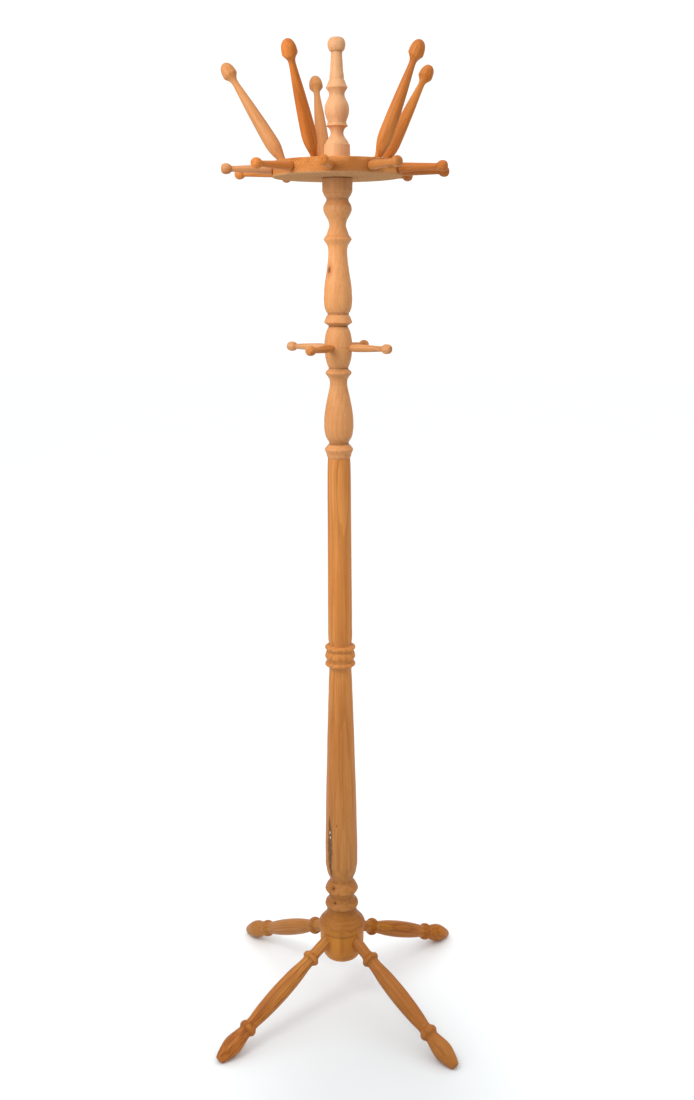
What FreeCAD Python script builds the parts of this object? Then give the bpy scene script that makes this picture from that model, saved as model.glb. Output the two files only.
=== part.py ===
import FreeCAD, Part
import math
import os

from FreeCAD import Placement, Rotation, Vector

# Standing coat rack in turned hardwood. Millimetres, +Z up.
# The origin is on the floor, on the column's axis. A leg points to each corner of the floor
# square, half-way between the X and Y axes, and -Y is the front.
#
# Every turned piece is a chain of profile vertices (radius, height, sagitta). The sagitta
# belongs to the edge that arrives at the vertex: 0 is a straight cut, a positive value is an
# arc that swells outwards and a negative one is a hollow.

# Leg: heights run along the leg's own axis, from the point where it meets the column's axis.
LEG = [
    (0, 23.75, 0), (10, 23.75, 0), (11, 24.75, 0), (11, 56.5, 0), (11.2, 59, 0.02),
    (11, 69.75, 0.06), (10.75, 76.75, -0.027), (11, 81.75, -0.098), (12.2, 86.15, -0.066),
    (14.4, 88.15, 0), (16.9, 91.15, 0.156), (17.5, 94.15, 0.188), (16.7, 97.15, 0.187),
    (14.1, 99.95, 0.163), (12.7, 102.15, -0.081), (12.25, 106.75, -0.251), (12.6, 112.75, -0.023),
    (13.5, 121.75, -0.049), (14.6, 130.75, 0), (15.7, 142.75, 0.065), (16.45, 156.75, 0.051),
    (16.95, 171.75, 0.034), (17.1, 187.75, 0.063), (16.8, 201.75, 0.041), (16.3, 214.75, 0.026),
    (15.6, 226.75, 0.037), (14.5, 239.75, 0.037), (13.2, 251.25, 0.073), (12.2, 259.75, -0.124),
    (12.3, 264.15, -0.042), (13.9, 266.35, -0.024), (16.5, 269.75, 0.095), (17.5, 274.15, 0.287),
    (16.7, 277.75, 0.201), (14.5, 280.75, 0.123), (13.4, 282.95, -0.08), (13.2, 285.35, -0.108),
    (14.1, 289.75, -0.099), (15.7, 297.35, 0.049), (17.5, 306.75, 0.054), (18.2, 314.75, 0.137),
    (17.5, 322.75, 0.152), (15.6, 330.75, 0.112), (13.2, 339.15, 0.062), (10.6, 346.55, 0.088),
    (8.5, 350.95, 0.068), (7.7, 352.35, 0), (0, 352.35, 0),
]

HUB = [
    (30, 95, 0), (33.2, 96.2, 0.166), (35.6, 99.6, 0.23), (39.4, 107, 0.072), (42.4, 117, 0.277),
    (43.8, 128, 0.191), (44, 140, 0.095), (44, 157.6, 0), (45.9, 158.6, 0), (47.1, 161, 0.086),
    (47.35, 164, 0.122), (46.9, 168, 0.088), (45.6, 172, 0.1), (44.6, 174.2, 0),
    (43.4, 175, -0.032), (41.4, 177.8, -0.126), (38.6, 181.2, 0.115), (37.4, 182.4, 0),
    (36.6, 183.2, 0), (34.2, 186.2, -0.076), (32, 190, -0.102), (30.6, 194, -0.066),
    (29.9, 194.8, -0.023), (29.7, 200, -0.449), (29.9, 204.6, 0.078), (29.3, 206, 0),
]

LOWER_COLUMN = [
    (0, 150, 0), (13, 150, 0), (14, 151, 0), (14, 206, 0), (29.3, 206, 0), (31.65, 206.8, 0),
    (33.4, 210.4, 0), (32.9, 214, 0.11), (31.35, 217.6, 0.193), (27.15, 221.4, 0.114),
    (25.7, 225.2, -0.112), (24.7, 229.6, -0.13), (26.1, 233.4, -0.03), (28.85, 238.4, 0),
    (33.1, 245, 0.322), (30.75, 251, 0.281), (27.65, 256.8, 0.117), (24.35, 261.4, 0.031),
    (22.75, 265, 0), (24.1, 270.6, -0.043), (27.15, 277.4, -0.097), (29.4, 285.2, 0.06),
    (30.7, 294.6, 0.096), (31.85, 300, 0.027), (31.95, 306, 0.056), (31.85, 320, 0.05),
    (31.95, 345, 0.073), (31.35, 368, 0), (30.7, 396, 0), (30.3, 430, 0), (29.4, 465, 0),
    (28.25, 502, 0.027), (27.1, 537, 0), (26.6, 565, 0), (25.65, 592, 0), (24.85, 615, 0),
    (24.2, 641, 0), (23.1, 666, 0), (22.8, 684, 0), (22.05, 698, 0), (21.5, 708, -0.037),
    (21.3, 711.6, 0), (22.5, 715.6, -0.111), (25.05, 719, -0.203), (28.95, 721.6, 0.12),
    (28.65, 725, 0.238), (25.7, 728.6, 0.142), (25.75, 731.4, 0.039), (26.45, 733.6, 0),
    (28.75, 737, 0.073), (28.7, 741, 0.144), (27.65, 745, 0.038), (25.55, 749.6, -0.029),
    (26.35, 751.6, 0), (29, 755, 0.065), (28.45, 758.6, 0.208), (22.95, 762, 0.177),
    (21.9, 765, -0.117), (22.25, 768.4, -0.137), (22.7, 771.6, 0), (23, 790, 0.169),
    (22.9, 820, -0.083), (22.65, 870, 0.029), (22.3, 925, 0), (22.05, 990, 0.022),
    (21.95, 1050, -0.033), (21.5, 1100, 0.058), (20.8, 1118, 0.053), (20.6, 1120.8, 0),
    (19.9, 1121.6, 0), (12, 1121.6, 0), (12, 1160.6, 0), (11, 1161.6, 0), (0, 1161.6, 0),
]

UPPER_COLUMN = [
    (19.9, 1121.6, 0), (20.6, 1122.4, 0), (22.4, 1126.2, -0.083), (22.85, 1129.8, -0.095),
    (24.4, 1133.4, 0), (26.35, 1138.6, 0.279), (23.2, 1142.6, 0.241), (20.65, 1146.2, 0.135),
    (17.85, 1148.4, -0.061), (18.4, 1151.8, -0.2), (21.1, 1156, -0.195), (23.6, 1160.6, -0.06),
    (24.05, 1162, 0.029), (25.15, 1166.4, 0.199), (26.55, 1174, 0.082), (26.85, 1186, 0.22),
    (26.55, 1197, 0.123), (25.45, 1206, 0.066), (24.05, 1215.6, 0), (22.2, 1224.6, 0.07),
    (21.1, 1231, 0), (19.7, 1236.8, 0), (18.15, 1243.2, 0.056), (16.9, 1249.4, -0.06),
    (15.8, 1255.4, -0.08), (15.8, 1261, -0.072), (16.6, 1266, -0.152), (18.95, 1270.2, -0.184),
    (20.95, 1272.8, -0.045), (22.5, 1274.6, 0.064), (24, 1277.6, 0.189), (21.85, 1281, 0.213),
    (19.1, 1283.2, 0.075), (17.55, 1286, -0.086), (19.4, 1290, -0.183), (20.95, 1294.6, -0.061),
    (22.45, 1299.6, 0), (23.65, 1305, 0.06), (24.35, 1312.5, 0.081), (25.05, 1321.1, 0.061),
    (24.4, 1322, 0), (24.45, 1322.8, 0), (25.2, 1323.7, 0), (25, 1333, 0.051), (23.65, 1342, 0.063),
    (21.85, 1350, 0.182), (19.75, 1355, 0.084), (18.1, 1358.6, -0.084), (16.95, 1360.6, -0.072),
    (19.55, 1363, -0.143), (23.2, 1365.2, -0.099), (25.3, 1367.2, 0.087), (23.95, 1370.8, 0.245),
    (22.6, 1374.2, 0.216), (22.15, 1376.4, 0.094), (20.05, 1379.2, -0.092), (18.7, 1382, -0.115),
    (21.4, 1386, -0.162), (22.95, 1389.6, -0.043), (24.2, 1394, 0.101), (25.05, 1401, 0.16),
    (25.5, 1409, 0.051), (24.9, 1418, 0.066), (24.4, 1427, 0.058), (23.4, 1436, 0.056),
    (22, 1444.6, 0), (20.45, 1454, 0), (19.2, 1463, 0), (18.05, 1471, -0.026), (17.4, 1478, -0.03),
    (16.8, 1485, -0.028), (16.7, 1491.4, -0.055), (17.35, 1496.4, -0.08), (18.75, 1501.2, -0.098),
    (22.05, 1506, -0.061), (25, 1510.6, 0), (23.65, 1513.2, 0.175), (22.75, 1515, 0.085),
    (20.25, 1517.6, -0.028), (18.5, 1522.4, -0.097), (16.55, 1527.6, -0.026), (15, 1532.2, -0.07),
    (14.85, 1536, -0.095), (15.8, 1540.4, -0.115), (17.75, 1545.4, -0.104), (20.8, 1550.4, -0.08),
    (23.2, 1555, 0), (24.95, 1559.6, 0.11), (24.8, 1564.4, 0.181), (23.6, 1569.2, 0.217),
    (21.05, 1573.2, 0.092), (19.4, 1576.6, -0.067), (19.5, 1579.4, -0.125), (21.55, 1582.4, -0.131),
    (24.05, 1586, -0.1), (24.25, 1588.2, -0.022), (25.2, 1588.6, 0), (26.2, 1592, 0),
    (26.4, 1592.8, 0), (26.4, 1601, -0.026), (26.9, 1612.6, -0.052), (25.3, 1614.2, 0),
]

LOWER_PEG = [
    (0, 8, 0), (4.6, 8, 0), (5.3, 9, 0), (5.3, 25.4, 0), (6, 27, 0.029), (6.5, 29.8, 0.091),
    (6.9, 36.8, 0.048), (6.85, 46.5, 0.068), (6.5, 56.5, 0.021), (6, 66.5, 0), (5.4, 76.5, 0),
    (4.95, 84.5, -0.029), (4.85, 88.5, 0), (6.2, 89.9, 0), (7.8, 92.3, 0.107), (8.6, 95.5, 0.127),
    (8.7, 98.5, 0.062), (8.1, 102.1, 0.11), (6.4, 105.3, 0.213), (3.6, 106.9, 0.233),
    (1.7, 107.1, 0.044), (1.1, 106.5, 0), (0, 106.3, 0),
]

RIM_PEG = [
    (0, 90, 0), (4.6, 90, 0), (5.3, 91, 0), (5.3, 113.8, 0), (6.6, 114.4, 0.061),
    (7.7, 116.6, 0.205), (8, 120, 0.091), (7.75, 128, 0.057), (7.25, 138, 0), (6.65, 149, 0),
    (6, 161, 0), (5.4, 172, 0), (4.95, 180, -0.036), (4.9, 184.2, 0), (6.3, 185.6, 0.023),
    (8, 188.2, 0.115), (9, 191.8, 0.134), (9.15, 194.6, 0.068), (8.4, 198, 0.154),
    (6.3, 200.8, 0.229), (3.2, 202, 0.211), (1.7, 202.1, 0), (1.1, 201.5, 0), (0, 201.3, 0),
]

LONG_PEG = [
    (0, -21, 0), (5.2, -21, 0), (6, -20, 0), (6, 4, 0), (6.5, 7, 0), (7.9, 13, -0.065),
    (10.1, 20.6, 0), (11.8, 28, 0.094), (12.7, 36.6, 0.138), (12.75, 44, 0.059), (12.4, 54, 0.027),
    (11.9, 66, 0), (11.2, 80, 0.023), (10.4, 93, 0), (9.6, 106, 0), (8.7, 119, 0.024),
    (7.7, 131, 0), (6.8, 142, 0), (6.1, 151, 0), (5.75, 158, -0.04), (5.9, 162, -0.082),
    (7, 165.8, -0.141), (9.2, 169.4, -0.074), (11.8, 172.8, 0), (12.6, 174.4, 0.06),
    (12.6, 177.6, 0.121), (12.2, 182.6, 0.06), (11.2, 187.4, 0.109), (9.2, 191.8, 0.142),
    (6.2, 195.2, 0.2), (3, 196.9, 0.1), (1.8, 197.1, 0), (1.2, 196.4, 0), (0, 196.1, 0),
]

# Disc: heights above its underside, the lower edge rounded more than the upper one.
DISC = [
    (110.6, 0, 0), (113.8, 3.2, 0.937), (113.8, 24.4, 0), (112.2, 26, 0.469),
]

FINIAL = [
    (0, 1552, 0), (8, 1552, 0), (9, 1553, 0), (9, 1640.6, 0), (22.4, 1640.6, 0),
    (22.7, 1656, 0.08), (22.3, 1668.8, 0.055), (20.4, 1670.4, 0), (19.2, 1673.6, 0.063),
    (15.6, 1678.6, 0.172), (12.4, 1683.4, -0.177), (11.2, 1689, -0.353), (12.6, 1693.6, -0.271),
    (16.2, 1697.6, -0.313), (18.3, 1698.8, -0.035), (19, 1699.7, 0.099), (18.3, 1700.7, 0.113),
    (17.2, 1701.2, 0), (17.3, 1703.4, 0), (16, 1704.2, 0), (16.4, 1707.4, -0.054),
    (18.6, 1713.2, -0.143), (20.6, 1719.5, 0.165), (21.2, 1726, 0.165), (20.4, 1733, 0.218),
    (18.2, 1738.6, 0.179), (15.6, 1743.2, 0), (13.9, 1747.4, -0.107), (13.35, 1750.6, -0.116),
    (13.9, 1753.6, -0.133), (15.6, 1756.8, -0.108), (17.6, 1759.6, -0.022), (18.6, 1761.2, 0.119),
    (18.3, 1763, 0.111), (16.9, 1765.4, -0.026), (15.2, 1769.4, -0.062), (13.6, 1773.6, 0),
    (12.7, 1774.6, -0.053), (12.5, 1777.4, -0.192), (11.8, 1784.4, 0.209), (10.9, 1792.6, -0.106),
    (10.5, 1801, 0), (9.9, 1808, 0), (9.7, 1814, -0.053), (9.8, 1819, 0), (11.8, 1820, 0.04),
    (14.1, 1823.8, 0.2), (15.3, 1829.2, 0.2), (15.1, 1833.4, 0.16), (13.2, 1838, 0.25),
    (9.4, 1841.2, 0.36), (5.2, 1842, 0.12), (0, 1842, 0),
]

# ---------------------------------------------------------------- driving dimensions
DIMS = [
    # legs
    ("leg_count", 4, "legs, evenly spaced"),
    ("leg_first_azimuth", 45, "first leg, degrees from the front towards the right"),
    ("leg_drop", 26.4, "slope of a leg below the horizontal, degrees"),
    ("leg_axis_height", 162, "height where the legs' axes meet the column's axis"),
    ("leg_tenon_radius", 11, "round tenon on the leg's inner end"),
    ("leg_socket_start", 23.55, "inner end of a leg socket, along the leg's axis"),
    ("leg_socket_depth", 40, "length of the socket drill's path"),
    # hub and column sockets
    ("hub_socket_radius", 14, "socket in the hub's top for the lower column's spigot"),
    ("hub_socket_bottom", 148, ""),
    ("hub_top", 206, "hub's top face, where the lower column stands"),
    ("column_socket_radius", 12, "socket in the upper column's foot"),
    ("column_joint", 1121.6, "height of the joint between the two columns"),
    ("column_socket_top", 1163.4, ""),
    # lower pegs
    ("lower_peg_count", 4, ""),
    ("lower_peg_first_azimuth", -26.3, "degrees from the front towards the right"),
    ("lower_peg_height", 1322.4, "axis of the lower pegs, on the scribed line"),
    ("lower_peg_tenon_radius", 5.3, ""),
    ("lower_peg_bore_start", 7.8, "inner end of the blind bore, from the column's axis"),
    ("lower_peg_bore_depth", 24, ""),
    # crown
    ("disc_thickness", 26, ""),
    ("disc_bottom", 1614.4, "0.2 above the collar, so that the crown turns freely"),
    ("disc_bore_radius", 9.07, "running clearance of 0.07 round the finial's dowel"),
    ("disc_bore_low", -1, ""),
    ("disc_bore_high", 27, ""),
    ("rim_peg_count", 10, ""),
    ("rim_peg_first_azimuth", -3.5, ""),
    ("rim_peg_height", 1627.1, ""),
    ("rim_peg_tenon_radius", 5.3, ""),
    ("rim_bore_start", 89.8, "inner end of a rim bore, from the column's axis"),
    ("rim_bore_depth", 40, ""),
    ("long_peg_radius_at_disc", 94.6, "where a long peg's axis leaves the disc's top"),
    ("long_peg_tenon_radius", 6, ""),
    ("long_bore_depth", 21.2, "along the peg's axis, below the disc's top"),
    # finial
    ("dowel_socket_radius", 9, "socket in the upper column for the finial's dowel"),
    ("dowel_socket_bottom", 1550, ""),
    ("column_top", 1614.2, "top of the collar"),
]
# the five long pegs are drilled by hand: azimuth, outward lean and sideways lean, degrees
LONG_PEGS = [(-20.66, 32.9, 1.4), (48.78, 28.3, -0.2), (123.01, 29.8, -0.2), (-163.56, 31.6, -1.9), (-97.77, 32.4, -0.9)]

doc = FreeCAD.newDocument("coat_rack")
sheet = doc.addObject("Spreadsheet::Sheet", "dims")
row = [1]
value = {}


def cell(alias, number, note=""):
    sheet.set("A%d" % row[0], alias)
    sheet.set("B%d" % row[0], "%.6g" % number if abs(number) < 1000 else "%.8g" % number)
    sheet.setAlias("B%d" % row[0], alias)
    if note:
        sheet.set("C%d" % row[0], note)
    value[alias] = float(number)
    row[0] += 1


for alias, number, note in DIMS:
    cell(alias, number, note)
for i, (az, out, side) in enumerate(LONG_PEGS, 1):
    cell("long_peg_%d_azimuth" % i, az)
    cell("long_peg_%d_lean" % i, out)
    cell("long_peg_%d_side" % i, side)
for prefix, table in (("leg", LEG), ("hub", HUB), ("lowcol", LOWER_COLUMN), ("upcol", UPPER_COLUMN),
                      ("lowpeg", LOWER_PEG), ("rimpeg", RIM_PEG), ("longpeg", LONG_PEG), ("finial", FINIAL),
                      ("disc", DISC)):
    for i, (r, z, q) in enumerate(table):
        cell("%s_rad_%d" % (prefix, i), r)
        cell("%s_pos_%d" % (prefix, i), z)
        if q:
            cell("%s_sag_%d" % (prefix, i), abs(q))
doc.recompute()


# ---------------------------------------------------------------- helpers
def plane(body, role):
    return [f for f in body.Origin.OriginFeatures if f.Role == role][0]


def new_sketch(body, name, role="XZ_Plane"):
    sk = body.newObject("Sketcher::SketchObject", name)
    sk.AttachmentSupport = [(plane(body, role), "")]
    sk.MapMode = "FlatFace"
    return sk


def ends(sk, g, p):
    """Which end of edge g lies at point p: 1 the start, 2 the end."""
    e = sk.Geometry[g]
    return 1 if (e.StartPoint - p).Length < (e.EndPoint - p).Length else 2


def arc(a, b, q):
    """Arc from a to b whose middle stands q to the right of the chord, stored anticlockwise."""
    chord = b - a
    r = chord.Length ** 2 / (8 * abs(q)) + abs(q) / 2
    right = Vector(chord.y, -chord.x, 0).normalize()
    if q < 0:
        right = right * -1
    c = (a + b) * 0.5 + right * (abs(q) - r)
    t1, t2 = [math.atan2(p.y - c.y, p.x - c.x) for p in ((a, b) if q > 0 else (b, a))]
    if t2 < t1:
        t2 += 2 * math.pi
    return Part.ArcOfCircle(Part.Circle(c, Vector(0, 0, 1), r), t1, t2)


def profile_sketch(body, name, prefix, table, first, last):
    """Closed half profile from vertex first to vertex last, shut along the body's Z axis.
    Each vertex is driven by its radius and height cells, each arc by its sagitta cell."""
    sk = new_sketch(body, name)
    pts = [Vector(table[i][0], table[i][1], 0) for i in range(first, last + 1)]
    edges, kinds = [], []
    for k in range(1, len(pts)):
        a, b, q = pts[k - 1], pts[k], table[first + k][2]
        if q:
            edges.append(arc(a, b, q))
        else:
            edges.append(Part.LineSegment(a, b))
        kinds.append(q)
    bottom_open = pts[0].x > 1e-9
    top_open = pts[-1].x > 1e-9
    a0, b0 = Vector(0, pts[0].y, 0), Vector(0, pts[-1].y, 0)
    if top_open:
        edges.append(Part.LineSegment(pts[-1], b0))
    edges.append(Part.LineSegment(b0, a0))
    if bottom_open:
        edges.append(Part.LineSegment(a0, pts[0]))
    sk.addGeometry(edges, False)
    con, bind = [], []
    n = len(edges)
    for k in range(n):
        j = (k + 1) % n
        shared = None
        for u in (sk.Geometry[k].StartPoint, sk.Geometry[k].EndPoint):
            for w in (sk.Geometry[j].StartPoint, sk.Geometry[j].EndPoint):
                if (u - w).Length < 1e-6:
                    shared = u
        con.append(Sketcher.Constraint("Coincident", k, ends(sk, k, shared), j, ends(sk, j, shared)))
    for k in range(len(pts)):
        g = k if k < len(pts) - 1 else k - 1
        end = ends(sk, g, pts[k])
        i = first + k
        if pts[k].x > 1e-9:
            bind.append((len(con), "dims.%s_rad_%d" % (prefix, i)))
            con.append(Sketcher.Constraint("DistanceX", -1, 1, g, end, pts[k].x))
        else:
            con.append(Sketcher.Constraint("PointOnObject", g, end, -2))
        bind.append((len(con), "dims.%s_pos_%d" % (prefix, i)))
        con.append(Sketcher.Constraint("DistanceY", -1, 1, g, end, pts[k].y))
    # the axis edge is on the vertical axis, the closing edges are level
    m = len(pts) - 1
    if top_open:
        con.append(Sketcher.Constraint("Horizontal", m))
        con.append(Sketcher.Constraint("PointOnObject", m, ends(sk, m, b0), -2))
        m += 1
    if bottom_open:
        con.append(Sketcher.Constraint("Horizontal", m + 1))
        con.append(Sketcher.Constraint("PointOnObject", m + 1, ends(sk, m + 1, a0), -2))
    for k, q in enumerate(kinds):
        if not q:
            continue
        i = first + k + 1
        rad = edges[k].Circle.Radius
        chord = "((dims.{0}_rad_{1}-dims.{0}_rad_{2})^2+(dims.{0}_pos_{1}-dims.{0}_pos_{2})^2)".format(prefix, i, i - 1)
        bind.append((len(con), "%s/(8*dims.%s_sag_%d)+dims.%s_sag_%d/2" % (chord, prefix, i, prefix, i)))
        con.append(Sketcher.Constraint("Radius", k, rad))
    sk.addConstraint(con)
    for index, text in bind:
        sk.setExpression("Constraints[%d]" % index, text)
    return sk


def turned(label, prefix, table, chunk=16):
    """A lathe-turned body: its profile is revolved in runs that share a cross-section."""
    body = doc.addObject("PartDesign::Body", label)
    body.Label = label
    i, n, part = 0, len(table) - 1, 1
    while i < n:
        j = min(n, i + chunk)
        if n - j < 5:
            j = n
        # a run never ends on a radial cut, so that neighbours share one plain circle
        while j < n and (abs(table[j][1] - table[j - 1][1]) < 0.05 or abs(table[j + 1][1] - table[j][1]) < 0.05):
            j += 1
        sk = profile_sketch(body, "%s_profile_%d" % (label, part), prefix, table, i, j)
        rev = body.newObject("PartDesign::Revolution", "%s_turn_%d" % (label, part))
        rev.Profile = sk
        rev.ReferenceAxis = (sk, ["V_Axis"])
        rev.Angle = 360
        body.Tip = rev
        i, part = j, part + 1
    return body


def socket(body, name, radius, low, high, over=0.0):
    """A blind round socket on the body's axis, from height low to height high."""
    sk = new_sketch(body, name + "_profile")
    r, z0, z1 = value[radius], value[low], value[high] + over
    p = [Vector(0, z0, 0), Vector(r, z0, 0), Vector(r, z1, 0), Vector(0, z1, 0)]
    sk.addGeometry([Part.LineSegment(p[k], p[(k + 1) % 4]) for k in range(4)], False)
    con = [Sketcher.Constraint("Coincident", k, 2, (k + 1) % 4, 1) for k in range(4)]
    con += [Sketcher.Constraint("Horizontal", 0), Sketcher.Constraint("Horizontal", 2), Sketcher.Constraint("Vertical", 1),
            Sketcher.Constraint("PointOnObject", 0, 1, -2), Sketcher.Constraint("PointOnObject", 3, 1, -2),
            Sketcher.Constraint("DistanceX", -1, 1, 0, 2, r), Sketcher.Constraint("DistanceY", -1, 1, 0, 1, z0),
            Sketcher.Constraint("DistanceY", -1, 1, 2, 1, z1)]
    sk.addConstraint(con)
    sk.setExpression("Constraints[9]", "dims." + radius)
    sk.setExpression("Constraints[10]", "dims." + low)
    sk.setExpression("Constraints[11]", "dims.%s+%g" % (high, over))
    cut = body.newObject("PartDesign::Groove", name)
    cut.Profile = sk
    cut.ReferenceAxis = (sk, ["V_Axis"])
    cut.Angle = 360
    body.Tip = cut
    return cut


def bore(body, name, radius, depth, placement):
    """A round hole drilled along the placement's own Z axis."""
    cyl = body.newObject("PartDesign::SubtractiveCylinder", name)
    cyl.setExpression("Radius", "dims." + radius)
    cyl.setExpression("Height", "dims." + depth)
    cyl.Placement = placement
    body.Tip = cyl
    return cyl


def polar(body, name, feature, count):
    doc.recompute()
    pattern = body.newObject("PartDesign::PolarPattern", name)
    pattern.Originals = [feature]
    pattern.Axis = ([f for f in body.Origin.OriginFeatures if f.Role == "Z_Axis"][0], [""])
    pattern.Angle = 360
    pattern.setExpression("Occurrences", "dims." + count)
    body.Tip = pattern
    return pattern


def aim(azimuth, tilt):
    """Rotation that points the local Z axis at an azimuth (degrees from -Y towards +X) and a
    tilt from the vertical, keeping the local Y axis level."""
    return Rotation(Vector(0, 0, 1), azimuth - 90).multiply(Rotation(Vector(0, 1, 0), tilt))


def out_vector(azimuth):
    a = math.radians(azimuth)
    return Vector(math.sin(a), -math.cos(a), 0)


import Sketcher

nodes = []

# ---------------------------------------------------------------- legs
leg_names = {45: "leg_front_right", 135: "leg_rear_right", -135: "leg_rear_left", -45: "leg_front_left"}
for azimuth in (45, 135, -135, -45):
    leg = turned(leg_names[azimuth], "leg", LEG)
    seat = Placement(Vector(0, 0, value["leg_axis_height"]), aim(azimuth, 90 + value["leg_drop"]))
    # the underside of the foot is sanded flat where it stands on the floor
    flat = leg.newObject("PartDesign::SubtractiveBox", leg.Label + "_foot_flat")
    flat.Length, flat.Width, flat.Height = 80, 80, 20
    under = Placement(out_vector(azimuth) * 300 + Vector(0, 0, -20), Rotation(Vector(0, 0, 1), azimuth - 90))
    flat.Placement = seat.inverse().multiply(under).multiply(Placement(Vector(-40, -40, 0), Rotation()))
    leg.Tip = flat
    leg.Placement = seat
    nodes.append(leg)

# ---------------------------------------------------------------- hub
hub = turned("leg_hub", "hub", HUB, chunk=40)
socket(hub, "hub_column_socket", "hub_socket_radius", "hub_socket_bottom", "hub_top", over=1.0)
first = aim(value["leg_first_azimuth"], 90 + value["leg_drop"])
start = Vector(0, 0, value["leg_axis_height"]) + first.multVec(Vector(0, 0, value["leg_socket_start"]))
leg_bore = bore(hub, "hub_leg_socket", "leg_tenon_radius", "leg_socket_depth", Placement(start, first))
polar(hub, "hub_leg_sockets", leg_bore, "leg_count")
nodes.append(hub)

# ---------------------------------------------------------------- column
lower = turned("lower_column", "lowcol", LOWER_COLUMN)
nodes.append(lower)

upper = turned("upper_column", "upcol", UPPER_COLUMN)
socket(upper, "foot_socket", "column_socket_radius", "column_joint", "column_socket_top")
socket(upper, "dowel_socket", "dowel_socket_radius", "dowel_socket_bottom", "column_top", over=1.0)
turn = aim(value["lower_peg_first_azimuth"], 90)
start = Vector(0, 0, value["lower_peg_height"]) + turn.multVec(Vector(0, 0, value["lower_peg_bore_start"]))
peg_bore = bore(upper, "lower_peg_bore", "lower_peg_tenon_radius", "lower_peg_bore_depth", Placement(start, turn))
polar(upper, "lower_peg_bores", peg_bore, "lower_peg_count")
nodes.append(upper)

for i in range(int(value["lower_peg_count"])):
    peg = turned("lower_peg_%d" % (i + 1), "lowpeg", LOWER_PEG, chunk=30)
    peg.Placement = Placement(Vector(0, 0, value["lower_peg_height"]), aim(value["lower_peg_first_azimuth"] + 90 * i, 90))
    nodes.append(peg)

# ---------------------------------------------------------------- crown
disc = turned("crown_disc", "disc", DISC)
socket(disc, "disc_centre_bore", "disc_bore_radius", "disc_bore_low", "disc_bore_high")
turn = aim(value["rim_peg_first_azimuth"], 90)
start = Vector(0, 0, value["rim_peg_height"] - value["disc_bottom"]) + turn.multVec(Vector(0, 0, value["rim_bore_start"]))
rim_bore = bore(disc, "rim_peg_bore", "rim_peg_tenon_radius", "rim_bore_depth", Placement(start, turn))
polar(disc, "rim_peg_bores", rim_bore, "rim_peg_count")
disc_top = value["disc_bottom"] + value["disc_thickness"]


def long_peg_seat(i, base_height):
    """Where long peg i's axis leaves the disc's top, and the way it leans."""
    az, lean, side = [value["long_peg_%d_%s" % (i, k)] for k in ("azimuth", "lean", "side")]
    er = out_vector(az)
    et = Vector(-er.y, er.x, 0)
    d = er * math.tan(math.radians(lean)) + et * math.tan(math.radians(side)) + Vector(0, 0, 1)
    d.normalize()
    head = math.degrees(math.atan2(d.x, -d.y))
    tilt = math.degrees(math.acos(d.z))
    return Placement(er * value["long_peg_radius_at_disc"] + Vector(0, 0, base_height), aim(head, tilt))


cell("long_bore_run", value["long_bore_depth"] + 8)
doc.recompute()
for i in range(1, 6):
    seat = long_peg_seat(i, value["disc_thickness"])
    back = Placement(seat.Base - seat.Rotation.multVec(Vector(0, 0, value["long_bore_depth"])), seat.Rotation)
    bore(disc, "long_peg_bore_%d" % i, "long_peg_tenon_radius", "long_bore_run", back)
disc.setExpression("Placement.Base.z", "dims.disc_bottom")
nodes.append(disc)

for i in range(int(value["rim_peg_count"])):
    peg = turned("rim_peg_%d" % (i + 1), "rimpeg", RIM_PEG, chunk=30)
    peg.Placement = Placement(Vector(0, 0, value["rim_peg_height"]), aim(value["rim_peg_first_azimuth"] + 36 * i, 90))
    nodes.append(peg)

for i in range(1, 6):
    peg = turned("long_peg_%d" % i, "longpeg", LONG_PEG, chunk=40)
    peg.Placement = long_peg_seat(i, disc_top)
    nodes.append(peg)

# ---------------------------------------------------------------- finial
finial = turned("finial", "finial", FINIAL)
nodes.append(finial)

# ---------------------------------------------------------------- check and write
doc.recompute()
for obj in doc.Objects:
    if "Invalid" in obj.State or "Error" in obj.State:
        raise RuntimeError("%s is %s" % (obj.Name, obj.State))
os.makedirs("parts", exist_ok=True)
for old in os.listdir("parts"):
    if old.endswith(".step"):
        os.remove(os.path.join("parts", old))
for node in nodes:
    shape = node.Shape
    if shape.isNull() or not shape.isValid():
        raise RuntimeError("%s has no valid shape" % node.Label)
    if len(shape.Solids) != 1:
        raise RuntimeError("%s has %d solids" % (node.Label, len(shape.Solids)))
for node in nodes:
    node.Shape.exportStep(os.path.join("parts", node.Label + ".step"))
    box = node.Shape.BoundBox
    print("%-18s volume %9.1f  z %7.2f to %7.2f" % (node.Label, node.Shape.Volume, box.ZMin, box.ZMax))
for node in nodes[:4]:
    for face in node.Shape.Faces:
        if abs(face.normalAt(0, 0).z + 1) < 1e-6 and abs(face.CenterOfMass.z) < 1e-6:
            c = face.CenterOfMass
            print("%s rests at %.3f %.3f %.3f, area %.1f" % (node.Label, c.x, c.y, c.z, face.Area))
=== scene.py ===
import math

import bpy
import numpy as np
from mathutils import Matrix, Vector


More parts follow.
